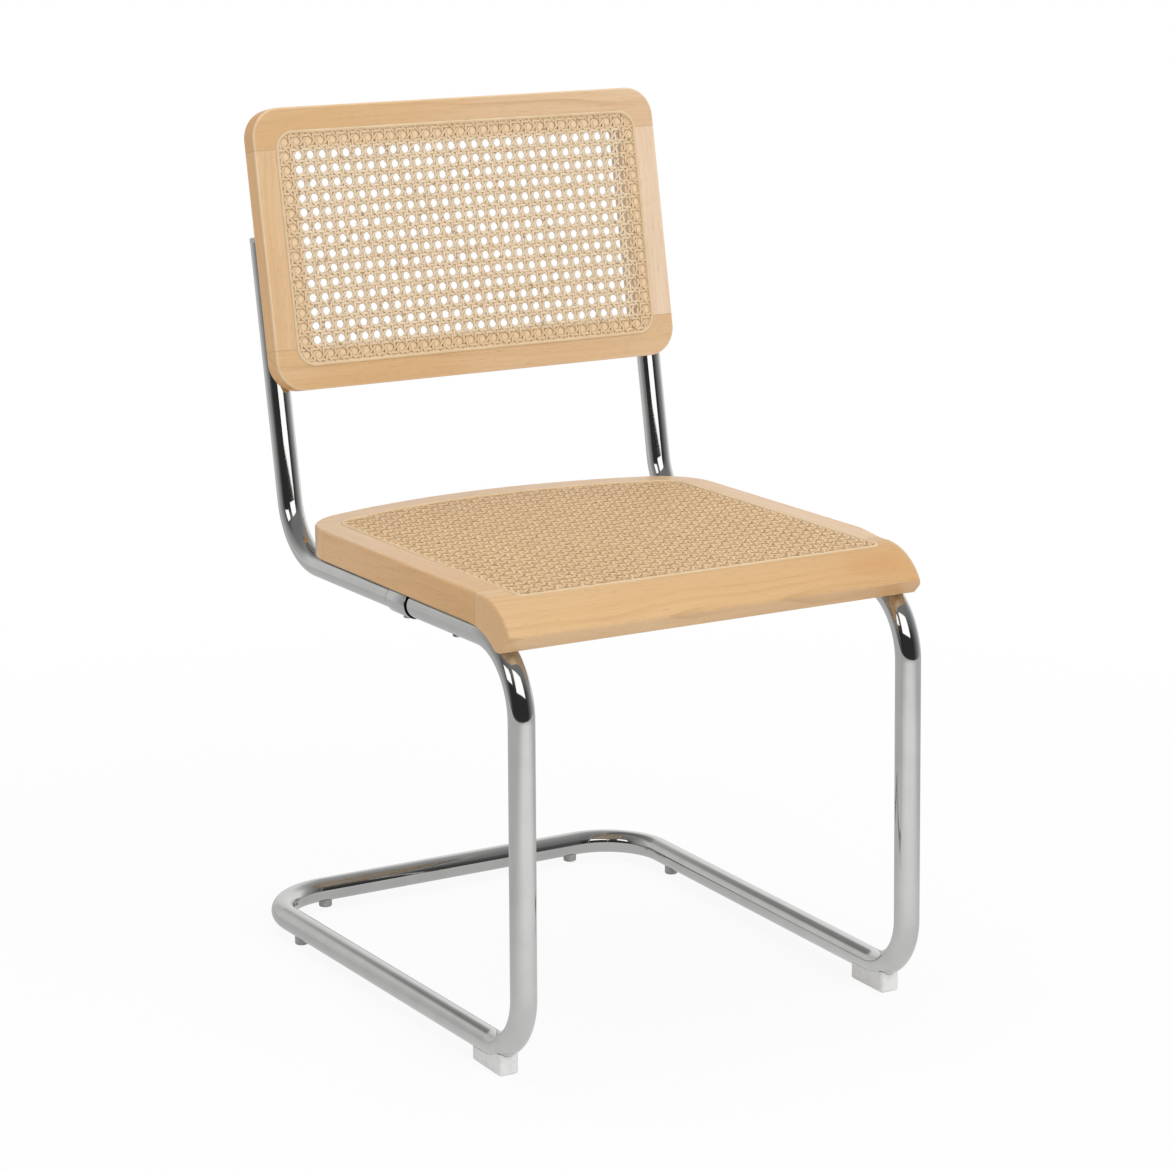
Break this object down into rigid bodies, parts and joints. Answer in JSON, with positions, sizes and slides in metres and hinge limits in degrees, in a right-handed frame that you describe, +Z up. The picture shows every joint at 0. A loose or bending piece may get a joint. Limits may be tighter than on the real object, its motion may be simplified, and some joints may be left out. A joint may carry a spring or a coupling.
{
  "type": "side chair",
  "caption": "Cantilever side chair: a bent chromed tube frame carries a wood-framed cane seat with a waterfall front and a wood-framed cane backrest.",
  "frame": {"origin": "on the floor, under the middle of the chair's bounding box", "axes": "+Z up, +Y to the rear of the chair, +X to the right seen from the front"},
  "size_m": [0.4724, 0.5764, 0.8517],
  "materials": {
    "chromed_tube": "polished chrome plate",
    "screw_steel": "zinc plated",
    "shoe_plastic": "moulded, satin",
    "button_plastic": "moulded, satin",
    "cap_plastic": "moulded, satin",
    "frame_wood": "beech, satin lacquer",
    "dowel_wood": "bare beech",
    "woven_cane": "natural cane, light gloss",
    "reed_spline": "natural reed"
  },
  "bodies": {
    "root": {"base_frame_tube": "chromed_tube", "left_back_tube": "chromed_tube", "right_back_tube": "chromed_tube", "left_back_screws": "screw_steel", "right_back_screws": "screw_steel", "left_seat_screw": "screw_steel", "right_seat_screw": "screw_steel", "left_joint_screw": "screw_steel", "right_joint_screw": "screw_steel", "left_front_glide": "shoe_plastic", "right_front_glide": "shoe_plastic", "left_runner_glide": "button_plastic", "right_runner_glide": "button_plastic", "left_crossbar_glide": "button_plastic", "right_crossbar_glide": "button_plastic", "left_tube_cap": "cap_plastic", "right_tube_cap": "cap_plastic", "seat_front_rail": "frame_wood", "seat_rear_rail": "frame_wood", "seat_left_rail": "frame_wood", "seat_right_rail": "frame_wood", "back_top_rail": "frame_wood", "back_bottom_rail": "frame_wood", "back_left_stile": "frame_wood", "back_right_stile": "frame_wood", "seat_dowels": "dowel_wood", "back_dowels": "dowel_wood", "seat_cane": "woven_cane", "back_cane": "woven_cane", "seat_spline": "reed_spline", "back_spline": "reed_spline"}
  },
  "joints": []
}
